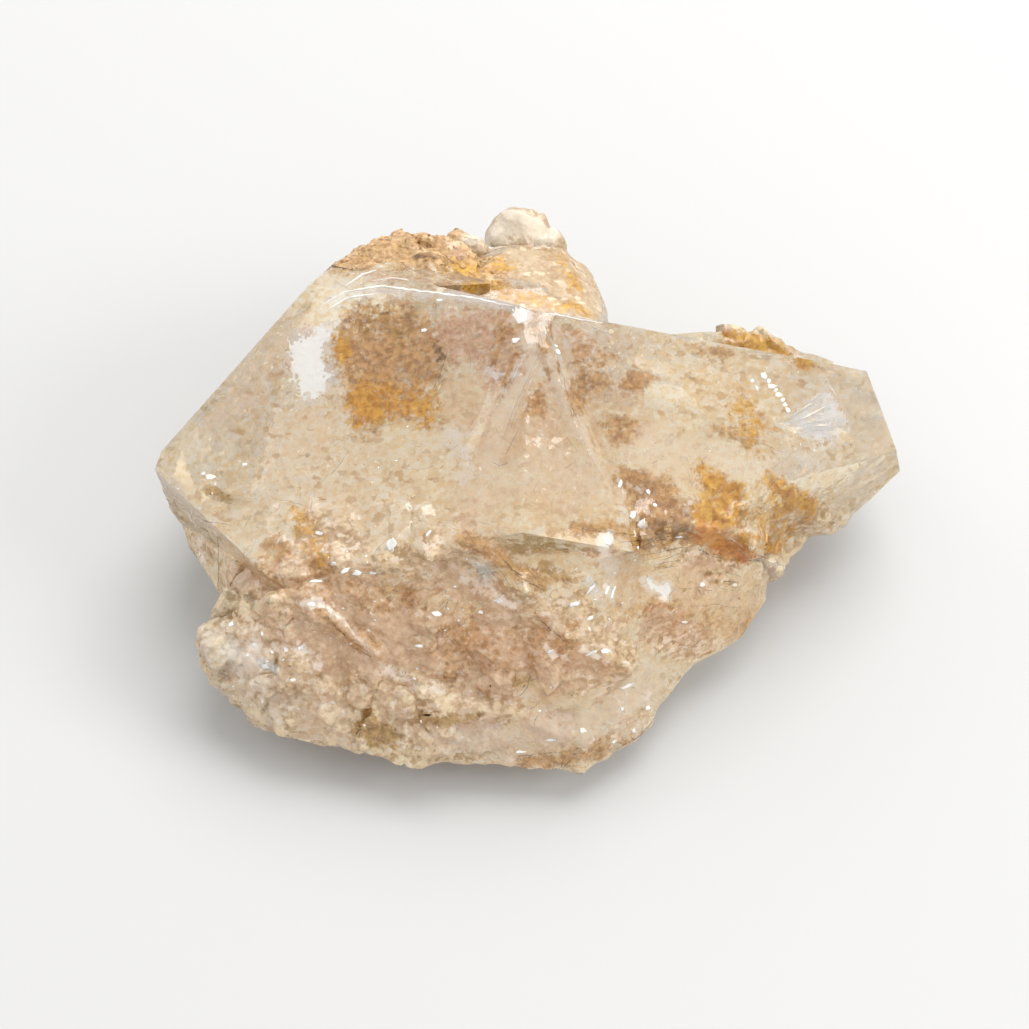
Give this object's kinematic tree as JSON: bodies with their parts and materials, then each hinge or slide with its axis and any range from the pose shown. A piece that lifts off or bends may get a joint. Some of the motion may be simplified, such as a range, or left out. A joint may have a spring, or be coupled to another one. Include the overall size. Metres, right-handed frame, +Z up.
{
  "type": "goshenite crystal",
  "caption": "Rough cluster of clear colourless beryl with flat crystal faces, a broken front, and iron-stained crust along its ridge.",
  "frame": {"origin": "middle of the base's bounding box, on the surface that the cluster rests on", "axes": "+X along the cluster from its left tip to its right crystal's end, +Y to the back where the pale lump is, +Z up"},
  "size_m": [0.0458, 0.0352, 0.019],
  "materials": {
    "beryl": "clear to cloudy natural crystal, glossy on its flat faces and sparkling where it is broken, with orange-brown iron stain"
  },
  "bodies": {
    "root": {"goshenite_crystal": "beryl"}
  },
  "joints": []
}
